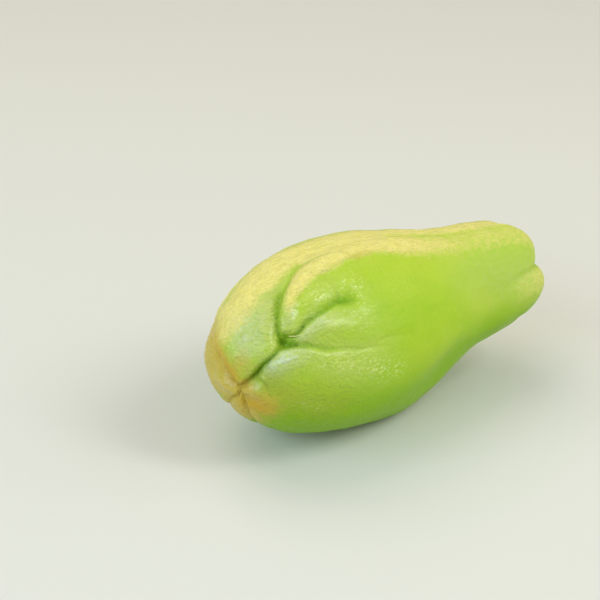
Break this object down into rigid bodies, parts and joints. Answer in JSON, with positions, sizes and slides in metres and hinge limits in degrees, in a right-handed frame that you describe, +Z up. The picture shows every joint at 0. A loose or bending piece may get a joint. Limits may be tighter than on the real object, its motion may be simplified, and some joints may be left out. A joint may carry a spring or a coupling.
{
  "type": "chayote squash",
  "caption": "Whole chayote fruit, pear shaped, with deep folds and a puckered mouth at its broad end and a lobed stem end, lying on its belly.",
  "frame": {"origin": "on the ground under the middle of the fruit's box", "axes": "+X along the fruit to the stem end, +Z up, the folded cheek faces -Y"},
  "size_m": [0.1596, 0.0784, 0.0804],
  "materials": {
    "chayote_skin": "satin waxy skin, yellow-green, yellower on the ridges and orange-yellow round the mouth"
  },
  "bodies": {
    "root": {"chayote_fruit": "chayote_skin"}
  },
  "joints": []
}
